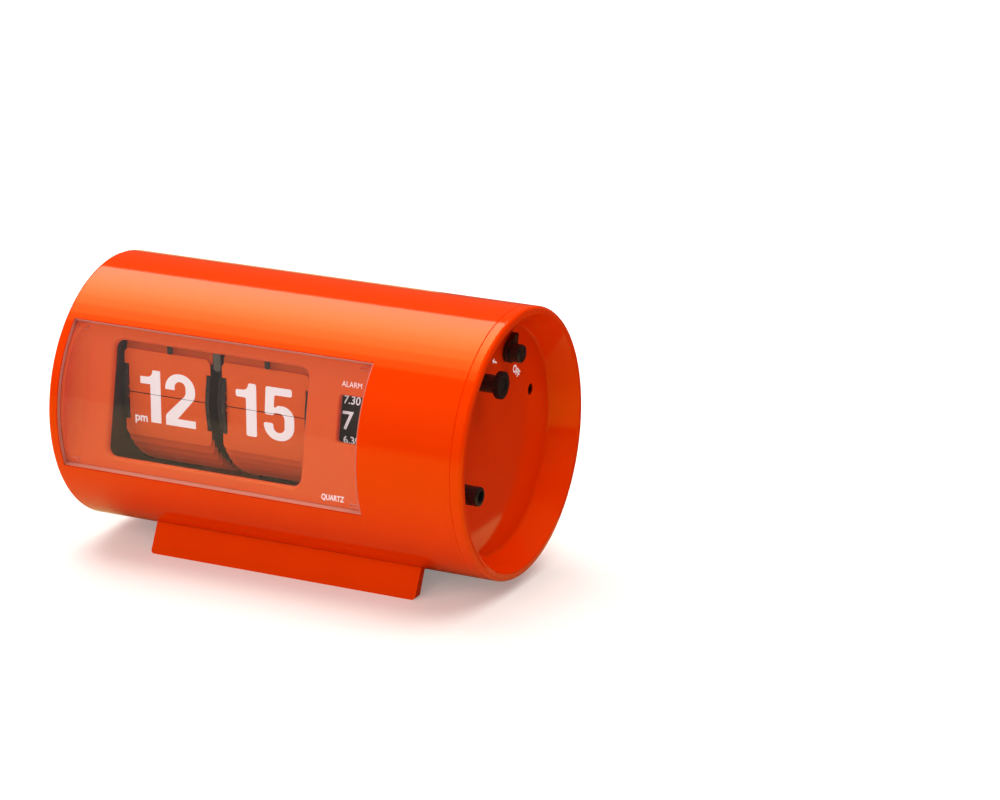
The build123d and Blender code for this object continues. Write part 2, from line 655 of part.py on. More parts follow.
def carry_pinion():
    """Small pinion on a pin in the centre plate, in mesh with the hour drum's carry wheel."""
    span = (HOUR_GEAR_SPAN[0] + 0.1, HOUR_GEAR_SPAN[1] + 0.2)
    save("carry_pinion", pinion(span, HOUR_TRAIN, CARRY_DIRECTION, CARRY_PIN_R + FIT))
    save("carry_pin", disc((HOUR_GEAR_SPAN[0] + 0.2, CENTRE_PLATE[1]), CARRY_PIN_R, CARRY_CENTRE))


# ---------------------------------------------------------------- setting shafts

def knurled(radius):
    """Round outline with shallow grooves around its edge."""
    return Circle(radius) - PolarLocations(radius, KNURL_COUNT) * Circle(KNURL_R)


def time_setting():
    """Plain dished knob and its long shaft with a pinion."""
    shaft_end = TIME_KNOB_END - 2.0
    shaft = disc((TIME_GEAR_SPAN[0] - 0.3, shaft_end), SHAFT_R, TIME_CENTRE)
    save("time_set_shaft", shaft)
    span = (TIME_GEAR_SPAN[0] - 0.1, TIME_GEAR_SPAN[1] + 0.1)
    save("time_set_pinion", pinion(span, TIME_TRAIN, TIME_DIRECTION, SHAFT_R))
    knob = disc((DISC_FACE + KNOB_CLEARANCE, TIME_KNOB_END), TIME_KNOB_R, TIME_CENTRE)
    knob = fillet(knob.edges().filter_by(GeomType.CIRCLE).group_by(Axis.X)[-1], 0.6)
    knob -= disc((TIME_KNOB_END - 1.4, TIME_KNOB_END + 1), 1.9, TIME_CENTRE)
    knob -= disc((DISC_FACE, shaft_end), SHAFT_R, TIME_CENTRE)
    save("time_set_knob", knob)


def alarm_setting():
    """Knurled wheel knob on a short boss, with its shaft and pinion."""
    shaft_end = ALARM_KNOB_END - 1.2
    save("alarm_set_shaft", disc((ALARM_GEAR_SPAN[0] - 0.3, shaft_end), SHAFT_R, ALARM_CENTRE))
    span = (ALARM_GEAR_SPAN[0] - 0.1, ALARM_GEAR_SPAN[1] + 0.1)
    save("alarm_set_pinion", pinion(span, ALARM_TRAIN, ALARM_DIRECTION, SHAFT_R))
    rim_low = ALARM_KNOB_END - ALARM_KNOB_RIM
    knob = disc((DISC_FACE + KNOB_CLEARANCE, rim_low), ALARM_KNOB_BOSS_R, ALARM_CENTRE)
    knob += slab(Pos(*ALARM_CENTRE) * knurled(ALARM_KNOB_R), rim_low, ALARM_KNOB_END)
    knob -= disc((ALARM_KNOB_END - 0.4, ALARM_KNOB_END + 1), ALARM_KNOB_DISH_R, ALARM_CENTRE)
    knob -= disc((DISC_FACE, shaft_end), SHAFT_R, ALARM_CENTRE)
    save("alarm_set_knob", knob)


def pointer_outline():
    """Teardrop pointer: a round boss running out to a narrow tip."""
    angle = math.radians(90 - POINTER_FROM_UP)
    reach = POINTER_LENGTH - POINTER_TIP_R
    tip = Pos(reach * math.cos(angle), reach * math.sin(angle)) * Circle(POINTER_TIP_R)
    return make_hull((Circle(POINTER_BOSS_R) + tip).edges())


def alarm_switch():
    """On and off lever: pointer plate, knob and shaft, with the switch cam inside."""
    shaft_span = (END_PLATE[1] + 1.0, SWITCH_KNOB_END - 1.5)
    save("alarm_switch_shaft", disc(shaft_span, SHAFT_R, SWITCH_CENTRE))
    low = DISC_FACE + KNOB_CLEARANCE
    knob = slab(Pos(*SWITCH_CENTRE) * pointer_outline(), low, low + POINTER_THICKNESS)
    grip = disc((low + POINTER_THICKNESS, SWITCH_KNOB_END), SWITCH_GRIP_R, SWITCH_CENTRE)
    knob += fillet(grip.edges().filter_by(GeomType.CIRCLE).group_by(Axis.X)[-1], 0.6)
    knob -= disc((DISC_FACE, shaft_span[1]), SHAFT_R, SWITCH_CENTRE)
    save("alarm_switch_knob", knob)
    cam = Circle(3.6) - Circle(SHAFT_R) - Pos(4.2, -1.0) * Circle(1.6)
    save("alarm_switch_cam", slab(Pos(*SWITCH_CENTRE) * cam, *SWITCH_CAM))


def alarm_drum():
    """Black label drum of the alarm and its wheel with a cam, loose on the spindle."""
    low, high = ALARM_DRUM
    body = disc(ALARM_DRUM, ALARM_DRUM_R, DRUM_CENTRE)
    body -= disc((low + ALARM_DRUM_WALL, high + 1), ALARM_DRUM_R - ALARM_DRUM_WALL, DRUM_CENTRE)
    body += disc((low, ALARM_GEAR_SPAN[0]), HUB_R, DRUM_CENTRE)
    body -= disc((low - 1, 46), RUNNING_BORE_R, DRUM_CENTRE)
    save("alarm_drum", body)
    hub = disc((ALARM_GEAR_SPAN[1], ALARM_CAM[1] + 0.3), HUB_R, DRUM_CENTRE)
    cam_outline = Circle(ALARM_CAM_R) - Pos(0, -ALARM_CAM_R) * Circle(1.4)
    cam = slab(Pos(*DRUM_CENTRE) * cam_outline, *ALARM_CAM)
    bore = disc((ALARM_GEAR_SPAN[0], 46), RUNNING_BORE_R, DRUM_CENTRE)
    toothed = wheel(ALARM_GEAR_SPAN, ALARM_TRAIN, ALARM_DIRECTION, RUNNING_BORE_R)
    save("alarm_wheel", toothed + hub + cam - bore)


def alarm_contact():
    """Spring strip on the end plate whose tip lies just under the alarm cam."""
    low = DRUM_Z - ALARM_CAM_R - 0.6
    strip_x = (ALARM_CAM[0] + 0.2, ALARM_CAM[1] - 0.2)
    strip = block(strip_x, (DRUM_Y - 1.0, DRUM_Y + 14.0), (low - 0.4, low))
    strip += block((strip_x[0], END_PLATE[0]), (DRUM_Y + 12.0, DRUM_Y + 16.0), (low - 1.4, low))
    save("alarm_contact_spring", strip)


def alarm_electrics():
    """Sounder and the switch contact on the end plate."""
    front = END_PLATE[1] + SOUNDER_DEPTH
    sounder = disc((END_PLATE[1], front), SOUNDER_R, SOUNDER_CENTRE)
    sounder -= disc((front - 0.8, front + 1), SOUNDER_R / 5, SOUNDER_CENTRE)
    save("sounder", sounder)
    y, z = SWITCH_CENTRE
    contact = block((END_PLATE[1], SWITCH_CAM[1]), (y + 6.0, y + 6.6), (z - 5.5, z + 1.5))
    contact += block(SWITCH_CAM, (y + 4.0, y + 6.0), (z - 2.2, z - 1.6))
    save("switch_contact", contact)


# ---------------------------------------------------------------- movement and battery

def movement():
    """Movement case with its cover, circuit board, stepper motor, motor pinion and output wheel."""
    case = block(CASE_X, CASE_Y, CASE_Z)
    case -= block((CASE_X[0] - 1, CASE_X[1] - CASE_WALL),
                  (CASE_Y[0] + CASE_WALL, CASE_Y[1] - CASE_WALL),
                  (CASE_Z[0] + CASE_WALL, CASE_Z[1] - CASE_WALL))
    case -= disc((CASE_X[1] - 3, CASE_X[1] + 1), BUSH_R + 0.2, DRUM_CENTRE)
    save("movement_case", case)
    save("movement_cover", block((CASE_X[0] - CASE_WALL, CASE_X[0]), CASE_Y, CASE_Z))

    board = block((BOARD_FACE - BOARD_THICKNESS, BOARD_FACE), (-20.0, 14.0), (13.0, 28.0))
    chip = block((BOARD_FACE, BOARD_FACE + 1.0), (-8.0, -3.0), (18.0, 23.0))
    crystal = disc((BOARD_FACE, BOARD_FACE + 3.8), 1.0, (6.0, 20.0))
    save("circuit_board", board + chip + crystal)

    well_end = MOTOR_SPAN[1] - 1.0
    well = disc((MOTOR_SPAN[0] - 1, well_end), MOTOR_SHAFT_R + FIT, MOTOR_CENTRE)
    save("stepper_motor", disc(MOTOR_SPAN, MOTOR_R, MOTOR_CENTRE) - well)
    teeth_span = (OUTPUT_WHEEL_SPAN[0] - 0.1, OUTPUT_WHEEL_SPAN[1] + 0.1)
    drive = pinion(teeth_span, MOTOR_TRAIN, MOTOR_DIRECTION, 0.2)
    drive += disc((teeth_span[0] - 0.2, well_end - 0.2), MOTOR_SHAFT_R, MOTOR_CENTRE)
    save("motor_pinion", drive)
    save("output_wheel", wheel(OUTPUT_WHEEL_SPAN, MOTOR_TRAIN, MOTOR_DIRECTION, SPINDLE_R))


def battery():
    """One AA cell in a half-round tray, with a contact at each end."""
    low, high = BATTERY_SPAN
    tip_r, tip_length = BATTERY_TIP
    cell = disc((low, high - tip_length), BATTERY_R, BATTERY_CENTRE)
    cell += disc((high - tip_length, high), tip_r, BATTERY_CENTRE)
    save("battery", cell)
    away = math.degrees(math.atan2(BATTERY_CENTRE[1] - DRUM_Z, BATTERY_CENTRE[0] - DRUM_Y))
    half = Pos(TRAY_R, 0) * Rectangle(2 * TRAY_R, 4 * TRAY_R)
    trough = (Circle(TRAY_R) - Circle(TRAY_R - TRAY_WALL)) & half
    end_wall = Circle(TRAY_R) & half
    turned = Pos(*BATTERY_CENTRE) * Rot(0, 0, away)
    tray = slab(turned * trough, low + 0.4, high + 1.6) + slab(turned * end_wall, high + 1.6, high + 2.6)
    save("battery_tray", tray)
    save("battery_positive_contact", slab(turned * (Circle(4.0) & half), high, high + 0.4))
    coils = []
    for turn in range(3):
        ring_low = LEFT_CAP[1] + COIL_PITCH * turn
        outer_r = 5.2 - 0.7 * turn
        coils.append(disc((ring_low, ring_low + COIL_WIRE), outer_r, BATTERY_CENTRE, bore=outer_r - 0.8))
    save("battery_spring", *coils)


def main():
    os.makedirs("parts", exist_ok=True)
    tube_casing()
    window_lens()
    face_plate()
    right_end_cap()
    left_end_cap()
    battery_door()
    stand()
    stand_screws()
    frame_plates()
    frame_pillars()
    spindle_bushes()
    cap_standoff()
    catch_bar()
    detent_spring()
    spindle()
    drum("hour", HOUR_LEAF, HOUR_COUNT, HOUR_GEAR_SPAN[1], RUNNING_BORE_R)
    drum("minute", MINUTE_LEAF, MINUTE_COUNT, TIME_GEAR_SPAN[1] + 0.3, SPINDLE_R, carry_finger())
    leaves("hour", HOUR_LEAF, HOUR_COUNT, HOUR_WAITING, HOUR_FALLEN)
    leaves("minute", MINUTE_LEAF, MINUTE_COUNT, MINUTE_WAITING, MINUTE_FALLEN)
    drum_gears()
    carry_pinion()
    time_setting()
    alarm_setting()
    alarm_switch()
    alarm_drum()
    alarm_contact()
    alarm_electrics()
    movement()
    battery()


main()
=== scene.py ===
"""Looks of the tube-shaped flip number clock: camera, light, materials and every printed mark."""
import json
import math

import bmesh
import bpy
from mathutils import Matrix, Vector


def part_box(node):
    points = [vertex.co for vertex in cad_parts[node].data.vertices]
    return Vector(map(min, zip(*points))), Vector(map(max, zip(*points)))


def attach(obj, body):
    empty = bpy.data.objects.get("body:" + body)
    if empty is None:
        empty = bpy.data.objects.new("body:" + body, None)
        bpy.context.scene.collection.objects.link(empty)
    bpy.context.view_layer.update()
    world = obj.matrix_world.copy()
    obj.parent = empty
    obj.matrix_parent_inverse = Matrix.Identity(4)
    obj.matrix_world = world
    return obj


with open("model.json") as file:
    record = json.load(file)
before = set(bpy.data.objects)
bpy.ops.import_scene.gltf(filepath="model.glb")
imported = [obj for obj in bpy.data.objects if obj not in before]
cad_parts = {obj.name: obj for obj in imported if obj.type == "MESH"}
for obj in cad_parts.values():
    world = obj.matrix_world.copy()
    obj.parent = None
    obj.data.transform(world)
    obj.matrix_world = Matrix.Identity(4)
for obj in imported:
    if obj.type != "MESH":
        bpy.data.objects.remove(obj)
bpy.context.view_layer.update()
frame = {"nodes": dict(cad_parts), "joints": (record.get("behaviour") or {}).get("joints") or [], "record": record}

MM = 0.001

# ---- Places read from the frame ----
JOINTS = {joint["name"]: joint for joint in frame["joints"]}
DRUM_AXIS = Vector(JOINTS["minute_drum_spin"]["pos_m"])
TUBE_LOW, TUBE_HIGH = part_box("tube_casing")
TUBE_AXIS_Z = (TUBE_LOW.z + TUBE_HIGH.z) / 2
TUBE_END_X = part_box("right_end_cap")[1].x

# ---- Camera: turns in degrees, and its place from the middle of the tube's axis ----
CAMERA_AZIMUTH = 26.137
CAMERA_ELEVATION = 17.852
CAMERA_ROLL = 0.13
CAMERA_PLACE = Vector((0.54918, -0.98428, 0.36661))
CAMERA_LENS = 131.47
CAMERA_SENSOR = 36.0
CAMERA_REACH = 50.0

# ---- Lights, in metres and watts: a row of strips from rear to front, then the fills ----
LIGHT_HEIGHT = 1.25
STRIP_MIDDLE = -0.6
STRIP_WIDTH = 1.3
STRIP_DEPTH = 0.2
STRIP_REAR = 0.95
STRIP_POWER = 3.1
STRIP_SHARES = (0.75, 0.85, 0.95, 1.0, 0.9, 0.7, 0.45, 0.2)
# Each fill has its centre, its size, its power and the point that it faces.
FILLS = {
    "overhead_right": ((0.7, 0.2, LIGHT_HEIGHT), (1.0, 1.2), 11.0, (0.7, 0.2, 0)),
    "front_fill": ((0.4, -2.3, 1.1), (1.6, 1.6), 19.0, (0, 0, 0)),
    "left_fill": ((-1.4, -1.6, 1.2), (1.2, 1.2), 7.0, (0, 0, 0)),
}

# ---- Surround: its strength changes with the X of the direction ----
SIDE_BRIGHT = 0.50
SIDE_BRIGHT_X = -0.35
SIDE_DARK = 0.04
SIDE_DARK_X = 0.75
GLOSS_SHARE = 0.30
GLOSS_TINT = (1.0, 0.78, 0.45)
BACKDROP_STRENGTH = 1.05

# ---- Floor ----
FLOOR_HALF = 6.0
FLOOR_SEEN = (0.86, 0.83, 0.78)
FLOOR_BOUNCE = (0.62, 0.57, 0.54)
FLOOR_MIRRORED = (0.54, 0.44, 0.20)
FLOOR_LIFT = 0.24
FLOOR_LIFT_TINT = (1.0, 0.95, 0.90)
FLOOR_ROUGHNESS = 0.6
FLOOR_SPECULAR = 0.1

# ---- Tan neighbour and its patch of shade on the floor ----
NEIGHBOUR_RADIUS = 0.044
NEIGHBOUR_LENGTH = 0.149
NEIGHBOUR_SEGMENTS = 64
NEIGHBOUR_MIDDLE = (0.085, 0.095)
# Dark tan: the neighbour's colour darkened with painted shade, and the painted shadow of the floor patch.
NEIGHBOUR_SHADED_TAN = (0.12, 0.03, 0.005)
NEIGHBOUR_ROUGHNESS = 0.7
SHADE_LOW = (0.092, 0.01)
SHADE_HIGH = (0.58, 0.5)
SHADE_HEIGHT = 0.0005

# ---- Noise in the materials: scales in object space, and detail ----
COLOUR_NOISE = 40.0
COLOUR_DETAIL = 3.0
COLOUR_RAMP = (0.3, 0.7)
ROUGHNESS_NOISE = 120.0
ROUGHNESS_DETAIL = 5.0
GRAIN_DETAIL = 4.0
GRAIN_DEPTH = 0.02 * MM
METAL_SPREAD = 0.06
METAL_COLOUR_NOISE = 200.0
METAL_ROUGHNESS_NOISE = 300.0
DRAWN_LINES_NOISE = 3000.0
DRAWN_LINES_STRENGTH = 0.15
DRAWN_LINES_DEPTH = 0.01 * MM

# ---- Clear lens ----
LENS_CLEAR = (0.97, 0.96, 0.96)
LENS_VEIL = (0.95, 0.80, 0.78)
LENS_VEIL_SHARE = 0.015
LENS_MIRROR_ROUGHNESS = 0.02
LENS_MIRROR_LEAST = 0.022
LENS_MIRROR_MOST = 0.6
LENS_FACING_BLEND = 0.35
LENS_FACING_POWER = 4.0
# Pale orange painted highlight on the lens's chamfers, standing in for light caught by the bevel.
LENS_RIM_HIGHLIGHT = (0.80, 0.28, 0.20)
RIM_STARTS = 0.93
RIM_IS_FULL = 0.85

# ---- Finishes; roughness is a least and a most ----
ORANGE_TINT = (1.0, 1.0, 0.08)
BLACK_TINT = (0.75, 0.9, 1.0)
PLASTICS = {
    "shell_orange": dict(colour=(0.93, 0.038, 0.0), roughness=(0.07, 0.11), spread=0.02,
                         grain=0.06, grain_scale=1500.0, tint=ORANGE_TINT),
    "dial_orange": dict(colour=(0.95, 0.11, 0.024), roughness=(0.28, 0.36), spread=0.02,
                        grain=0.12, grain_scale=2500.0, tint=ORANGE_TINT),
    "leaf_orange": dict(colour=(0.97, 0.112, 0.020), roughness=(0.45, 0.60), spread=0.03,
                        grain=0.15, grain_scale=5000.0, tint=ORANGE_TINT),
    "black_plastic": dict(colour=(0.022, 0.021, 0.021), roughness=(0.35, 0.50), spread=0.15,
                          grain=0.2, grain_scale=3000.0, tint=BLACK_TINT),
    "knob_black": dict(colour=(0.012, 0.012, 0.012), roughness=(0.22, 0.32), spread=0.10,
                       grain=0.12, grain_scale=3000.0),
    "grey_plastic": dict(colour=(0.22, 0.22, 0.23), roughness=(0.40, 0.55), spread=0.05,
                         grain=0.2, grain_scale=3000.0),
    "gear_plastic": dict(colour=(0.80, 0.78, 0.72), roughness=(0.35, 0.45), spread=0.04,
                         grain=0.1, grain_scale=3000.0),
    "board_green": dict(colour=(0.03, 0.20, 0.08), roughness=(0.30, 0.45), spread=0.10,
                        grain=0.15, grain_scale=2000.0),
}
METALS = {
    "steel": dict(colour=(0.16, 0.17, 0.26), roughness=(0.25, 0.40), brushed=(1, 12, 12)),
    "black_steel": dict(colour=(0.03, 0.03, 0.032), roughness=(0.28, 0.40)),
    "brass": dict(colour=(0.80, 0.58, 0.26), roughness=(0.20, 0.34), brushed=(1, 10, 10)),
}
INK_LOOK = dict(colour=(1.0, 0.93, 0.95), roughness=(0.45, 0.55), spread=0.01,
                grain=0.1, grain_scale=5000.0)
# The print glows with painted light so it stays white in the shade behind the window, more on the shaded alarm
# drum.
INK_GLOW = (1.0, 0.9, 0.9)
INK_GLOW_STRENGTHS = {"ink_white": 0.22, "alarm_ink": 0.45}

# ---- Printing ----
INK = 0.03 * MM
HALF_LEAF = 0.1 * MM
HALF_GAP = 0.08 * MM
WINDOW_TILT = math.radians(10.9)
DIAL_DEPTH = 35.0 * MM
DISC_DEPTH = 9.5 * MM
FIRST_HOUR = 12
FIRST_MINUTE = 15
LABEL_COUNT = 24
FIRST_LABEL_HOUR = 7
FIRST_LABEL_ANGLE = 3.6
LABEL_X = 23.9 * MM
TICK_X = 31.9 * MM
TICK_SIZE = (1.5 * MM, 0.4 * MM)

# ---- Lettering: cap height, boldness as a share of it, and squeeze across ----
SUFFIX_STYLE = (2.8 * MM, 0.035, 0.97)
HOUR_STYLE = (6.0 * MM, 0.012, 1.0)
HALF_HOUR_STYLE = (2.6 * MM, 0.02, 0.95)
ALARM_STYLE = (1.75 * MM, 0.0, 0.90)
QUARTZ_STYLE = (1.75 * MM, 0.03, 0.80)
OFF_STYLE = (2.4 * MM, 0.03, 0.95)
# Places across and up their own face; on the end disc, with a turn in degrees.
SUFFIX_PLACE = (-10.15 * MM, 1.3 * MM)
ALARM_PLACE = (30.3 * MM, 16.0 * MM)
QUARTZ_PLACE = (26.6 * MM, -20.4 * MM)
OFF_PLACE = (14.0 * MM, 19.1 * MM, -42)
ARROW_PLACE = (-1.7 * MM, 26.5 * MM, -28)
FACE_CAP_SHARE = 0.70

# ---- Mesh work ----
WELD = 0.001 * MM
CUT_TOLERANCE = 1e-7
BEND_STEP = 0.6 * MM
ARC_STEP = math.radians(9)
NEARLY_STRAIGHT = math.radians(176)
# A corner's arc may take this share of its shorter edge, or all but a spare bit if it has its own radius.
EDGE_SHARE = 0.499
EDGE_SPARE = 0.02


# ================================================================ camera, light and stage

def add_object(name, data):
    """New object in the scene."""
    item = bpy.data.objects.new(name, data)
    bpy.context.scene.collection.objects.link(item)
    return item


def add_camera():
    """Long-lens camera, from the front right and above."""
    data = bpy.data.cameras.new("view_camera")
    data.lens = CAMERA_LENS
    data.sensor_width = CAMERA_SENSOR
    data.clip_end = CAMERA_REACH
    camera = add_object("view_camera", data)
    camera.location = CAMERA_PLACE + Vector((0, 0, TUBE_AXIS_Z))
    turn = Matrix.Rotation(math.radians(CAMERA_AZIMUTH), 4, "Z")
    tip = Matrix.Rotation(math.radians(90 - CAMERA_ELEVATION), 4, "X")
    roll = Matrix.Rotation(math.radians(CAMERA_ROLL), 4, "Z")
    camera.rotation_euler = (turn @ tip @ roll).to_euler()
    bpy.context.scene.camera = camera


def add_softbox(name, centre, size, power, aim):
    """Rectangular area light facing a point."""
    data = bpy.data.lights.new(name, "AREA")
    data.shape = "RECTANGLE"
    data.size, data.size_y = size
    data.energy = power
    light = add_object(name, data)
    light.location = centre
    light.rotation_euler = (Vector(centre) - Vector(aim)).to_track_quat("Z", "Y").to_euler()
    light.visible_camera = False
    return light


def add_lights():
    """Overhead strips that fade towards the front, and soft fills that leave no reflection."""
    for index, share in enumerate(STRIP_SHARES):
        y = STRIP_REAR - STRIP_DEPTH * index
        centre = (STRIP_MIDDLE, y, LIGHT_HEIGHT)
        below = (STRIP_MIDDLE, y, 0)
        add_softbox(f"overhead_{index}", centre, (STRIP_WIDTH, STRIP_DEPTH), STRIP_POWER * share, below)
    for name, settings in FILLS.items():
        fill = add_softbox(name, *settings)
        fill.visible_glossy = False


def colour_mix(nodes, first, second):
    """Mix of two colours."""
    mix = nodes.new("ShaderNodeMix")
    mix.data_type = "RGBA"
    mix.inputs["A"].default_value = (*first, 1)
    mix.inputs["B"].default_value = (*second, 1)
    return mix


def range_map(nodes, low, high, start=0.0, end=1.0):
    """Map range node that gives low at the start and high at the end."""
    span = nodes.new("ShaderNodeMapRange")
    span.inputs["From Min"].default_value = start
    span.inputs["From Max"].default_value = end
    span.inputs["To Min"].default_value = low
    span.inputs["To Max"].default_value = high
    return span


def calculation(nodes, kind, operation, second=None):
    """Math or vector math node, with its second value where that is fixed."""
    node = nodes.new(kind)
    node.operation = operation
    if second is not None:
        node.inputs[1].default_value = second
    return node


def add_world():
    """Studio surround: white to the camera, brighter from the left, dim and warm in reflections."""
    world = bpy.data.worlds.new("studio")
    bpy.context.scene.world = world
    world.use_nodes = True
    nodes = world.node_tree.nodes
    links = world.node_tree.links
    background = nodes["Background"]
    tone = colour_mix(nodes, (1, 1, 1), GLOSS_TINT)
    place = nodes.new("ShaderNodeTexCoord")
    split = nodes.new("ShaderNodeSeparateXYZ")
    side = range_map(nodes, SIDE_DARK, SIDE_BRIGHT, SIDE_DARK_X, SIDE_BRIGHT_X)
    side.interpolation_type = "SMOOTHSTEP"
    path = nodes.new("ShaderNodeLightPath")
    glossy = range_map(nodes, 1.0, GLOSS_SHARE)
    dimmed = calculation(nodes, "ShaderNodeMath", "MULTIPLY")
    white = range_map(nodes, 0.0, BACKDROP_STRENGTH)
    links.new(place.outputs["Generated"], split.inputs["Vector"])
    links.new(split.outputs["X"], side.inputs["Value"])
    links.new(path.outputs["Is Glossy Ray"], glossy.inputs["Value"])
    links.new(path.outputs["Is Glossy Ray"], tone.inputs["Factor"])
    links.new(tone.outputs["Result"], background.inputs["Color"])
    links.new(side.outputs["Result"], dimmed.inputs[0])
    links.new(glossy.outputs["Result"], dimmed.inputs[1])
    links.new(path.outputs["Is Camera Ray"], white.inputs["Value"])
    links.new(dimmed.outputs["Value"], white.inputs["To Min"])
    links.new(white.outputs["Result"], background.inputs["Strength"])


def flat_sheet(name, low, high, height):
    """Level rectangle between two corners."""
    corners = [(low[0], low[1]), (high[0], low[1]), (high[0], high[1]), (low[0], high[1])]
    mesh = bpy.data.meshes.new(name)
    mesh.from_pydata([(x, y, height) for x, y in corners], [], [(0, 1, 2, 3)])
    return mesh


def add_floor():
    """Large plain white floor; it reflects warmer and dimmer than it looks."""
    mesh = flat_sheet("floor", (-FLOOR_HALF, -FLOOR_HALF), (FLOOR_HALF, FLOOR_HALF), 0.0)
    floor = add_object("floor", mesh)
    material, shader = new_material("floor_white")
    nodes = material.node_tree.nodes
    links = material.node_tree.links
    shader.inputs["Roughness"].default_value = FLOOR_ROUGHNESS
    shader.inputs["Specular IOR Level"].default_value = FLOOR_SPECULAR
    shader.inputs["Emission Color"].default_value = (*FLOOR_LIFT_TINT, 1)
    path = nodes.new("ShaderNodeLightPath")
    unseen = colour_mix(nodes, FLOOR_BOUNCE, FLOOR_MIRRORED)
    tone = colour_mix(nodes, FLOOR_BOUNCE, FLOOR_SEEN)
    lift = calculation(nodes, "ShaderNodeMath", "MULTIPLY", FLOOR_LIFT)
    links.new(path.outputs["Is Glossy Ray"], unseen.inputs["Factor"])
    links.new(unseen.outputs["Result"], tone.inputs["A"])
    links.new(path.outputs["Is Camera Ray"], tone.inputs["Factor"])
    links.new(tone.outputs["Result"], shader.inputs["Base Color"])
    links.new(path.outputs["Is Camera Ray"], lift.inputs[0])
    links.new(lift.outputs["Value"], shader.inputs["Emission Strength"])
    mesh.materials.append(material)


def add_neighbour():
    """Unseen tan cylinder darkened with painted shade, and a patch of painted shadow on the floor, both of which
    the right end reflects.
    """
    shape = bmesh.new()
    bmesh.ops.create_cone(
        shape, cap_ends=True, segments=NEIGHBOUR_SEGMENTS, radius1=NEIGHBOUR_RADIUS,
        radius2=NEIGHBOUR_RADIUS, depth=NEIGHBOUR_LENGTH)
    bmesh.ops.transform(shape, matrix=Matrix.Rotation(math.radians(90), 4, "Y"), verts=shape.verts)
    tube = bpy.data.meshes.new("neighbour")
    shape.to_mesh(tube)
    shape.free()
    patch = flat_sheet("neighbour_shade", SHADE_LOW, SHADE_HIGH, SHADE_HEIGHT)
    material, shader = new_material("neighbour_shaded_tan")
    shader.inputs["Base Color"].default_value = (*NEIGHBOUR_SHADED_TAN, 1)
    shader.inputs["Roughness"].default_value = NEIGHBOUR_ROUGHNESS
    for mesh, place in ((tube, (*NEIGHBOUR_MIDDLE, TUBE_AXIS_Z)), (patch, (0, 0, 0))):
        mesh.materials.append(material)
        item = add_object(mesh.name, mesh)
        item.location = place
        item.visible_camera = False
        item.visible_shadow = False
        item.visible_diffuse = False


# ================================================================ materials

def new_material(name):
    """Empty node material with its Principled shader."""
    material = bpy.data.materials.new(name)
    material.use_nodes = True
    return material, material.node_tree.nodes["Principled BSDF"]


def object_noise(tree, scale, detail):
    """Noise texture in object space, so that it stays with the piece."""
    place = tree.nodes.new("ShaderNodeTexCoord")
    noise = tree.nodes.new("ShaderNodeTexNoise")
    noise.inputs["Scale"].default_value = scale
    noise.inputs["Detail"].default_value = detail
    tree.links.new(place.outputs["Object"], noise.inputs["Vector"])
    return noise


def vary_colour(tree, shader, colour, spread, scale):
    """Base colour that wanders a little between a darker and a lighter tone."""
    noise = object_noise(tree, scale, COLOUR_DETAIL)
    ramp = tree.nodes.new("ShaderNodeValToRGB")
    for element, position, share in zip(ramp.color_ramp.elements, COLOUR_RAMP, (1 - spread, 1 + spread)):
        element.position = position
        element.color = [min(1.0, channel * share) for channel in colour] + [1]
    tree.links.new(noise.outputs["Fac"], ramp.inputs["Fac"])
    tree.links.new(ramp.outputs["Color"], shader.inputs["Base Color"])


def vary_roughness(tree, shader, roughness, scale):
    """Roughness that wanders between two values."""
    noise = object_noise(tree, scale, ROUGHNESS_DETAIL)
    span = range_map(tree.nodes, *roughness)
    tree.links.new(noise.outputs["Fac"], span.inputs["Value"])
    tree.links.new(span.outputs["Result"], shader.inputs["Roughness"])


def add_bump(tree, shader, height, strength, distance):
    """Fine relief from a height output."""
    bump = tree.nodes.new("ShaderNodeBump")
    bump.inputs["Strength"].default_value = strength
    bump.inputs["Distance"].default_value = distance
    tree.links.new(height, bump.inputs["Height"])
    tree.links.new(bump.outputs["Normal"], shader.inputs["Normal"])


def plastic(name, colour, roughness, spread, grain, grain_scale, tint=(1, 1, 1)):
    """Moulded plastic: slight colour drift, uneven gloss and a fine grain."""
    material, shader = new_material(name)
    tree = material.node_tree
    vary_colour(tree, shader, colour, spread, COLOUR_NOISE)
    vary_roughness(tree, shader, roughness, ROUGHNESS_NOISE)
    noise = object_noise(tree, grain_scale, GRAIN_DETAIL)
    add_bump(tree, shader, noise.outputs["Fac"], grain, GRAIN_DEPTH)
    shader.inputs["Specular Tint"].default_value = (*tint, 1)
    return material


def bright_ink(name, lift):
    """White print that glows a little: painted light that keeps it white in the shade behind the window."""
    material = plastic(name, **INK_LOOK)
    shader = material.node_tree.nodes["Principled BSDF"]
    shader.inputs["Emission Color"].default_value = (*INK_GLOW, 1)
    shader.inputs["Emission Strength"].default_value = lift
    return material


def metal(name, colour, roughness, brushed=(1, 1, 1)):
    """Plain metal with fine drawn lines."""
    material, shader = new_material(name)
    tree = material.node_tree
    shader.inputs["Metallic"].default_value = 1.0
    vary_colour(tree, shader, colour, METAL_SPREAD, METAL_COLOUR_NOISE)
    vary_roughness(tree, shader, roughness, METAL_ROUGHNESS_NOISE)
    place = tree.nodes.new("ShaderNodeTexCoord")
    stretch = tree.nodes.new("ShaderNodeMapping")
    stretch.inputs["Scale"].default_value = brushed
    lines = tree.nodes.new("ShaderNodeTexNoise")
    lines.inputs["Scale"].default_value = DRAWN_LINES_NOISE
    tree.links.new(place.outputs["Object"], stretch.inputs["Vector"])
    tree.links.new(stretch.outputs["Vector"], lines.inputs["Vector"])
    add_bump(tree, shader, lines.outputs["Fac"], DRAWN_LINES_STRENGTH, DRAWN_LINES_DEPTH)
    return material


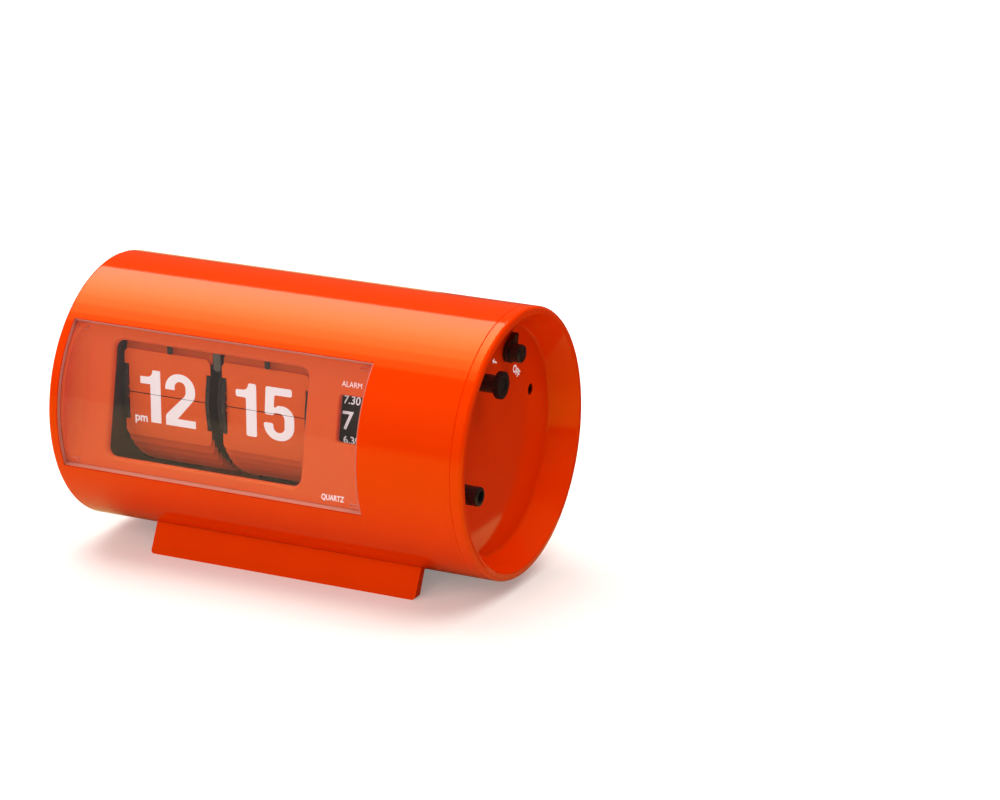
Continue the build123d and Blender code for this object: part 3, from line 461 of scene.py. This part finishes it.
def edge_mask(tree):
    """One on faces that do not look straight out from the tube's axis, such as the lens's chamfers."""
    nodes = tree.nodes
    place = nodes.new("ShaderNodeTexCoord")
    geometry = nodes.new("ShaderNodeNewGeometry")
    centre = calculation(nodes, "ShaderNodeVectorMath", "SUBTRACT", (0, 0, TUBE_AXIS_Z))
    across = calculation(nodes, "ShaderNodeVectorMath", "MULTIPLY", (0, 1, 1))
    outward = calculation(nodes, "ShaderNodeVectorMath", "NORMALIZE")
    turn = nodes.new("ShaderNodeVectorTransform")
    turn.vector_type = "NORMAL"
    turn.convert_from = "WORLD"
    turn.convert_to = "OBJECT"
    facing = calculation(nodes, "ShaderNodeVectorMath", "DOT_PRODUCT")
    size = calculation(nodes, "ShaderNodeMath", "ABSOLUTE")
    mask = range_map(nodes, 0.0, 1.0, RIM_STARTS, RIM_IS_FULL)
    tree.links.new(place.outputs["Object"], centre.inputs[0])
    tree.links.new(centre.outputs["Vector"], across.inputs[0])
    tree.links.new(across.outputs["Vector"], outward.inputs[0])
    tree.links.new(geometry.outputs["True Normal"], turn.inputs["Vector"])
    tree.links.new(turn.outputs["Vector"], facing.inputs[0])
    tree.links.new(outward.outputs["Vector"], facing.inputs[1])
    tree.links.new(facing.outputs["Value"], size.inputs[0])
    tree.links.new(size.outputs["Value"], mask.inputs["Value"])
    return mask.outputs["Result"]


def clear_lens():
    """Clear acrylic: a faint milky veil, reflections that grow at a slant, and a pale orange painted highlight on
    the rim's chamfers.
    """
    material, unused_shader = new_material("lens_clear")
    tree = material.node_tree
    nodes = tree.nodes
    nodes.remove(unused_shader)
    clear = nodes.new("ShaderNodeBsdfTransparent")
    clear.inputs["Color"].default_value = (*LENS_CLEAR, 1)
    veil = nodes.new("ShaderNodeBsdfDiffuse")
    veil.inputs["Color"].default_value = (*LENS_VEIL, 1)
    mirror = nodes.new("ShaderNodeBsdfGlossy")
    mirror.inputs["Roughness"].default_value = LENS_MIRROR_ROUGHNESS
    mirror.inputs["Color"].default_value = (1, 1, 1, 1)
    # Painted highlight: pale orange diffuse colour on the chamfer faces.
    rim = nodes.new("ShaderNodeBsdfDiffuse")
    rim.inputs["Color"].default_value = (*LENS_RIM_HIGHLIGHT, 1)
    facing = nodes.new("ShaderNodeLayerWeight")
    facing.inputs["Blend"].default_value = LENS_FACING_BLEND
    slant = calculation(nodes, "ShaderNodeMath", "POWER", LENS_FACING_POWER)
    share = range_map(nodes, LENS_MIRROR_LEAST, LENS_MIRROR_MOST)
    body = nodes.new("ShaderNodeMixShader")
    body.inputs["Fac"].default_value = LENS_VEIL_SHARE
    surface = nodes.new("ShaderNodeMixShader")
    rim_highlight_mix = nodes.new("ShaderNodeMixShader")
    tree.links.new(clear.outputs["BSDF"], body.inputs[1])
    tree.links.new(veil.outputs["BSDF"], body.inputs[2])
    tree.links.new(facing.outputs["Facing"], slant.inputs[0])
    tree.links.new(slant.outputs["Value"], share.inputs["Value"])
    tree.links.new(share.outputs["Result"], surface.inputs["Fac"])
    tree.links.new(body.outputs["Shader"], surface.inputs[1])
    tree.links.new(mirror.outputs["BSDF"], surface.inputs[2])
    tree.links.new(edge_mask(tree), rim_highlight_mix.inputs["Fac"])
    tree.links.new(surface.outputs["Shader"], rim_highlight_mix.inputs[1])
    tree.links.new(rim.outputs["BSDF"], rim_highlight_mix.inputs[2])
    tree.links.new(rim_highlight_mix.outputs["Shader"], nodes["Material Output"].inputs["Surface"])
    return material


def make_materials():
    """One finished material for each slot of the record, and the inks."""
    materials = {name: plastic(name, **look) for name, look in PLASTICS.items()}
    materials.update((name, metal(name, **look)) for name, look in METALS.items())
    materials.update((name, bright_ink(name, lift)) for name, lift in INK_GLOW_STRENGTHS.items())
    materials["lens_clear"] = clear_lens()
    return materials


def dress_frame(materials):
    """Give every CAD node the finished material of its slot."""
    for subpart in frame["record"]["subparts"]:
        node = frame["nodes"][subpart["node"]]
        node.data.materials.clear()
        node.data.materials.append(materials[subpart["material_slot"]])


# ================================================================ numerals

DIGIT_HEIGHT = 17.7
DIGIT_WIDTH = 11.1

# Outlines in millimetres: each point is (across, up) or (across, up, corner radius).
DIGITS = {
    "0": [[(0, 0, 5.2), (11.1, 0, 5.2), (11.1, 17.7, 5.2), (0, 17.7, 5.2)],
          [(3.5, 2.6, 2), (3.5, 15.1, 2), (7.6, 15.1, 2), (7.6, 2.6, 2)]],
    "1": [[(3.7, 0), (7.5, 0), (7.5, 17.7), (4.7, 17.7), (4.2, 15.3, 2), (0, 15.2), (0, 12.8),
           (3.7, 12.8)]],
    "2": [[(0, 0), (11.1, 0), (11.1, 2.5), (4.4, 2.5), (11.1, 10.2, 4), (11.1, 17.7, 5.3),
           (0, 17.7, 5.3), (0, 12.1), (3.5, 12.1), (3.5, 15.1, 2), (7.6, 15.1, 2), (7.6, 10.9, 2.5),
           (0, 3.4, 2)]],
    "3": [[(0, 0, 5.2), (11.1, 0, 5.2), (11.1, 9.0, 2.6), (9.6, 9.2, 0.5), (11.0, 9.5, 2.6),
           (11.0, 17.7, 5.2), (0, 17.7, 5.2), (0, 12.6), (3.5, 12.6), (3.5, 15.1, 2), (7.5, 15.1, 2),
           (7.5, 10.5, 1.6), (4.7, 10.5), (4.7, 8.0), (7.6, 8.0, 1.6), (7.6, 2.6, 2), (3.5, 2.6, 2),
           (3.5, 5.3), (0, 5.3)]],
    "4": [[(6.1, 0), (9.6, 0), (9.6, 3.8), (11.3, 3.8), (11.3, 6.4), (9.6, 6.4), (9.6, 17.7),
           (5.6, 17.7), (0, 6.8), (0, 3.8), (6.1, 3.8)],
          [(3.0, 6.4), (6.1, 12.8), (6.1, 6.4)]],
    "5": [[(0, 0, 5.2), (11.1, 0, 5.2), (11.1, 11.7, 4.2), (5.2, 11.7, 1), (3.7, 10.4), (4.0, 15.1),
           (10.4, 15.1), (10.4, 17.7), (0.9, 17.7), (0.4, 8.3), (3.5, 8.3), (4.0, 9.2, 0.8),
           (7.6, 9.2, 2), (7.6, 2.6, 2), (3.5, 2.6, 2), (3.5, 5.6), (0, 5.6)]],
    "6": [[(0, 0, 5.2), (11.1, 0, 5.2), (11.1, 11.0, 4.2), (5.2, 11.0, 1), (3.5, 9.8), (3.5, 15.1, 2),
           (7.5, 15.1, 2), (7.5, 13.0), (11.0, 13.0), (11.0, 17.7, 5.2), (0, 17.7, 5.2)],
          [(3.5, 2.6, 2), (3.5, 8.5, 2), (7.6, 8.5, 2), (7.6, 2.6, 2)]],
    "7": [[(1.9, 0), (5.6, 0), (6.6, 7.4, 12), (11.1, 14.8), (11.1, 17.7), (0.2, 17.7), (0.2, 14.9),
           (7.3, 14.9), (3.0, 8.0, 12)]],
    "8": [[(0, 0, 5.2), (11.1, 0, 5.2), (11.1, 8.9, 2.8), (9.9, 9.2, 0.6), (10.9, 9.6, 2.6),
           (10.9, 17.7, 5), (0.2, 17.7, 5), (0.2, 9.6, 2.6), (1.2, 9.2, 0.6), (0, 8.9, 2.8)],
          [(3.4, 2.5, 2), (3.4, 7.9, 2), (7.7, 7.9, 2), (7.7, 2.5, 2)],
          [(3.6, 10.4, 1.8), (3.6, 15.2, 1.8), (7.5, 15.2, 1.8), (7.5, 10.4, 1.8)]],
}


def turned_digit(outlines):
    """The same outlines turned half way round."""
    return [[(DIGIT_WIDTH - p[0], DIGIT_HEIGHT - p[1], *p[2:]) for p in outline] for outline in outlines]


DIGITS["9"] = turned_digit(DIGITS["6"])


def rounded(outline, least_radius):
    """Outline with every corner drawn as an arc of its own radius, or at least the given one."""
    points = []
    count = len(outline)
    for index, corner in enumerate(outline):
        here = Vector(corner[:2])
        radius = max(corner[2] if len(corner) > 2 else 0.0, least_radius)
        back = Vector(outline[index - 1][:2]) - here
        ahead = Vector(outline[(index + 1) % count][:2]) - here
        between = back.angle(ahead)
        if radius <= 0 or between > NEARLY_STRAIGHT:
            points.append(here)
            continue
        room = EDGE_SHARE * min(back.length, ahead.length)
        if len(corner) > 2:
            room = min(back.length, ahead.length) - EDGE_SPARE
        reach = min(radius / math.tan(between / 2), room)
        radius = reach * math.tan(between / 2)
        start = here + back.normalized() * reach
        inward = (back.normalized() + ahead.normalized()).normalized()
        centre = here + inward * (radius / math.sin(between / 2))
        sweep = math.pi - between
        side = 1 if back.x * ahead.y - back.y * ahead.x < 0 else -1
        steps = max(2, int(sweep / ARC_STEP))
        for step in range(steps + 1):
            spoke = Matrix.Rotation(side * sweep * step / steps, 2) @ (start - centre)
            points.append(centre + spoke)
    return points


def flat_curve(name, outlines):
    """Filled flat curve from outlines in metres, as thick as the ink."""
    curve = bpy.data.curves.new(name, "CURVE")
    curve.dimensions = "2D"
    curve.fill_mode = "BOTH"
    curve.extrude = INK / 2
    for outline in outlines:
        spline = curve.splines.new("POLY")
        spline.points.add(len(outline) - 1)
        for point, place in zip(spline.points, outline):
            point.co = (place[0], place[1], 0, 1)
        spline.use_cyclic_u = True
    return curve


def curve_to_mesh(curve):
    """Closed mesh of a filled curve or a text, as a bmesh."""
    carrier = add_object("carrier", curve)
    bpy.context.view_layer.update()
    evaluated = carrier.evaluated_get(bpy.context.evaluated_depsgraph_get())
    mesh = bpy.data.meshes.new_from_object(evaluated)
    shape = bmesh.new()
    shape.from_mesh(mesh)
    bmesh.ops.remove_doubles(shape, verts=shape.verts, dist=WELD)
    bpy.data.objects.remove(carrier)
    bpy.data.meshes.remove(mesh)
    return shape


def number_shape(text, gap, corner_radius):
    """A number drawn with the big digits, centred across, standing on zero."""
    outlines = []
    across = 0.0
    for digit in text:
        contours = DIGITS[digit]
        width = max(point[0] for point in contours[0])
        for contour in contours:
            corners = rounded(contour, corner_radius)
            outlines.append([(point + Vector((across, 0))) * MM for point in corners])
        across += width + gap
    middle = (across - gap) / 2 * MM
    centred = [[point - Vector((middle, 0)) for point in outline] for outline in outlines]
    return curve_to_mesh(flat_curve("number", centred))


def text_shape(text, cap_height, bold, squeeze):
    """Small lettering in the built-in plain face, centred on its middle."""
    curve = bpy.data.curves.new("lettering", "FONT")
    curve.body = text
    curve.size = cap_height / FACE_CAP_SHARE
    curve.offset = bold * cap_height
    curve.extrude = INK / 2
    curve.align_x = "CENTER"
    curve.resolution_u = 4
    shape = curve_to_mesh(curve)
    bmesh.ops.scale(shape, vec=(squeeze, 1, 1), verts=shape.verts)
    bmesh.ops.translate(shape, vec=(0, -cap_height / 2, 0), verts=shape.verts)
    return shape


def rectangle_shape(width, height):
    """Flat printed bar."""
    x = width / 2
    y = height / 2
    return curve_to_mesh(flat_curve("bar", [[(-x, -y), (x, -y), (x, y), (-x, y)]]))


def arrow_shape():
    """Small arrow that points left."""
    head = [(-0.5, -0.9), (-1.7, 0), (-0.5, 0.9)]
    shaft = [(-0.5, 0.25), (1.6, 0.25), (1.6, -0.25), (-0.5, -0.25)]
    return curve_to_mesh(flat_curve("arrow", [[(x * MM, y * MM) for x, y in head + shaft]]))


def slice_level(shape, height, normal_y=1, **options):
    """Cut every face of a flat shape at a height."""
    everything = shape.verts[:] + shape.edges[:] + shape.faces[:]
    return bmesh.ops.bisect_plane(
        shape, geom=everything, dist=CUT_TOLERANCE, plane_co=(0, height, 0),
        plane_no=(0, normal_y, 0), **options)


def keep_half(shape, height, upper):
    """Cut a flat shape at a height and close the cut."""
    side = 1 if upper else -1
    cut = slice_level(shape, height + side * HALF_GAP, -side, clear_outer=True)
    edges = [item for item in cut["geom_cut"] if isinstance(item, bmesh.types.BMEdge)]
    if edges:
        bmesh.ops.triangle_fill(shape, edges=edges, use_beauty=True)


def merge(target, source, matrix):
    """Add a transformed copy of one bmesh to another and free it."""
    bmesh.ops.transform(source, matrix=matrix, verts=source.verts)
    mesh = bpy.data.meshes.new("part")
    source.to_mesh(mesh)
    target.from_mesh(mesh)
    bpy.data.meshes.remove(mesh)
    source.free()


def finish_print(name, shape, body, material):
    """Turn a bmesh of ink into a piece that rides on a body."""
    bmesh.ops.recalc_face_normals(shape, faces=shape.faces[:])
    mesh = bpy.data.meshes.new(name)
    shape.to_mesh(mesh)
    shape.free()
    mesh.materials.append(material)
    piece = add_object(name, mesh)
    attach(piece, body)


# ---- Leaves ----

UPRIGHT = Matrix.Rotation(math.radians(90), 4, "X")


def about_line(line, angle):
    """Turn about a line along X; positive turns +Y towards +Z."""
    return Matrix.Translation(line) @ Matrix.Rotation(angle, 4, "X") @ Matrix.Translation(-line)


class LeafSet:
    """The printed leaves of one drum. Gaps and corner radius are in the digits' millimetres."""

    def __init__(self, prefix, count, waiting, fallen, middle_x, digit_gap, corner_radius, foot, label):
        self.prefix = prefix
        self.drum = f"{prefix}_drum"
        self.leaf = f"{prefix}_leaf"
        self.pitch = 360 / count
        self.waiting = waiting
        self.fallen = fallen
        self.digit_gap = digit_gap
        self.corner_radius = corner_radius
        self.foot = foot
        self.label = label
        low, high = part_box(f"{prefix}_upper_leaf")
        self.middle_x = middle_x
        self.middle_y = (low.y + high.y) / 2
        self.plane_y = self.middle_y - HALF_LEAF - INK / 2

    def half(self, step, upper):
        """Half of the number shown after a number of steps, at the front of the drum."""
        number, suffix = self.label(step)
        shape = number_shape(number, self.digit_gap, self.corner_radius)
        if suffix and not upper:
            small = text_shape(suffix, *SUFFIX_STYLE)
            merge(shape, small, Matrix.Translation((*SUFFIX_PLACE, 0)))
        keep_half(shape, DRUM_AXIS.z - self.foot, upper)
        return shape, Matrix.Translation((self.middle_x, self.plane_y, self.foot)) @ UPRIGHT

    def add(self, material):
        """Print the falling leaf's two faces, the lower leaf and every leaf behind them."""
        falling = bmesh.new()
        merge(falling, *self.half(0, True))
        back, place = self.half(1, False)
        split_line = Vector((0, self.middle_y, DRUM_AXIS.z))
        merge(falling, back, about_line(split_line, math.pi) @ place)
        finish_print(f"{self.prefix}_upper_numerals", falling, self.leaf, material)
        lower = bmesh.new()
        merge(lower, *self.half(0, False))
        finish_print(f"{self.prefix}_lower_numerals", lower, self.drum, material)
        self.add_group("waiting", self.waiting, -1, True, material)
        self.add_group("fallen", self.fallen, 1, False, material)

    def add_group(self, group, count, side, upper, material):
        """Print the outer face of each leaf of a group."""
        shape = bmesh.new()
        for step in range(1, count + 1):
            ink, place = self.half(-side * step, upper)
            turn = math.radians(side * self.pitch * step)
            merge(shape, ink, about_line(DRUM_AXIS, turn) @ place)
        finish_print(f"{self.prefix}_{group}_numerals", shape, self.drum, material)


def hour_label(step):
    """Hour number and its half of the day, with two leaves for each hour, counted from noon."""
    hour = (FIRST_HOUR + step // 2) % 24
    return str((hour - 1) % 12 + 1), "pm" if hour >= 12 else "am"


def minute_label(step):
    """Two-digit minutes, counted from a quarter past."""
    return f"{(FIRST_MINUTE + step) % 60:02d}", ""


# ---- Alarm drum ----

def wrap_on_drum(shape, radius, angle):
    """Bend a flat print round the drum axis, with its middle at an angle above the front."""
    heights = [vert.co.y for vert in shape.verts]
    low, high = min(heights), max(heights)
    bands = max(2, int((high - low) / BEND_STEP))
    for band in range(1, bands):
        slice_level(shape, low + (high - low) * band / bands)
    for vert in shape.verts:
        turn = math.radians(angle) + vert.co.y / radius
        out = radius + INK / 2 + vert.co.z
        y = DRUM_AXIS.y - out * math.cos(turn)
        z = DRUM_AXIS.z + out * math.sin(turn)
        vert.co = Vector((vert.co.x, y, z))


def add_alarm_labels(material):
    """Hour and half-hour labels round the alarm drum, each with a tick."""
    low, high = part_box("alarm_drum")
    radius = (high.y - low.y) / 2
    shape = bmesh.new()
    for index in range(LABEL_COUNT):
        hour = (FIRST_LABEL_HOUR + index // 2 - 1) % 12 + 1
        angle = FIRST_LABEL_ANGLE + 360 / LABEL_COUNT * index
        if index % 2:
            label = text_shape(f"{hour}.30", *HALF_HOUR_STYLE)
        else:
            label = text_shape(str(hour), *HOUR_STYLE)
        start = min(vert.co.x for vert in label.verts)
        tick = rectangle_shape(*TICK_SIZE)
        for mark, x in ((label, LABEL_X - start), (tick, TICK_X)):
            wrap_on_drum(mark, radius, angle)
            merge(shape, mark, Matrix.Translation((x, 0, 0)))
    finish_print("alarm_drum_labels", shape, "alarm_drum", material)


# ---- Dial plate and end disc ----

def dial_place(x, up):
    """Place on the face plate, given across and up along the tilted plate, in metres."""
    lean = Matrix.Translation((0, 0, TUBE_AXIS_Z)) @ Matrix.Rotation(-WINDOW_TILT, 4, "X")
    return lean @ Matrix.Translation((x, -DIAL_DEPTH - INK / 2, up)) @ UPRIGHT


def add_dial_lettering(material):
    """Plain words on the face plate."""
    shape = bmesh.new()
    merge(shape, text_shape("ALARM", *ALARM_STYLE), dial_place(*ALARM_PLACE))
    merge(shape, text_shape("QUARTZ", *QUARTZ_STYLE), dial_place(*QUARTZ_PLACE))
    finish_print("dial_lettering", shape, "case", material)


def disc_place(y, z, turn):
    """Place on the end disc, facing along +X, given from the tube's axis in metres."""
    face_x = TUBE_END_X - DISC_DEPTH + INK / 2
    facing = Matrix(((0, 0, 1, 0), (1, 0, 0, 0), (0, 1, 0, 0), (0, 0, 0, 1)))
    spin = Matrix.Rotation(math.radians(turn), 4, "Z")
    return Matrix.Translation((face_x, y, TUBE_AXIS_Z + z)) @ facing @ spin


def add_disc_lettering(material):
    """The off mark and the setting arrow beside the knobs."""
    shape = bmesh.new()
    merge(shape, text_shape("OFF", *OFF_STYLE), disc_place(*OFF_PLACE))
    merge(shape, arrow_shape(), disc_place(*ARROW_PLACE))
    finish_print("disc_lettering", shape, "case", material)


# ================================================================ the scene

def main():
    """Build the scene round the frame."""
    bpy.context.scene.view_settings.view_transform = "Standard"
    add_camera()
    add_world()
    add_lights()
    add_floor()
    add_neighbour()
    materials = make_materials()
    dress_frame(materials)
    ink = materials["ink_white"]
    hours = LeafSet(
        "hour", count=48, waiting=28, fallen=10, middle_x=-39.85 * MM, digit_gap=1.8,
        corner_radius=0.0, foot=TUBE_AXIS_Z - 2.55 * MM, label=hour_label)
    minutes = LeafSet(
        "minute", count=60, waiting=36, fallen=13, middle_x=-3.95 * MM, digit_gap=2.6,
        corner_radius=0.7, foot=TUBE_AXIS_Z - 1.9 * MM, label=minute_label)
    hours.add(ink)
    minutes.add(ink)
    add_alarm_labels(materials["alarm_ink"])
    add_dial_lettering(ink)
    add_disc_lettering(ink)


main()
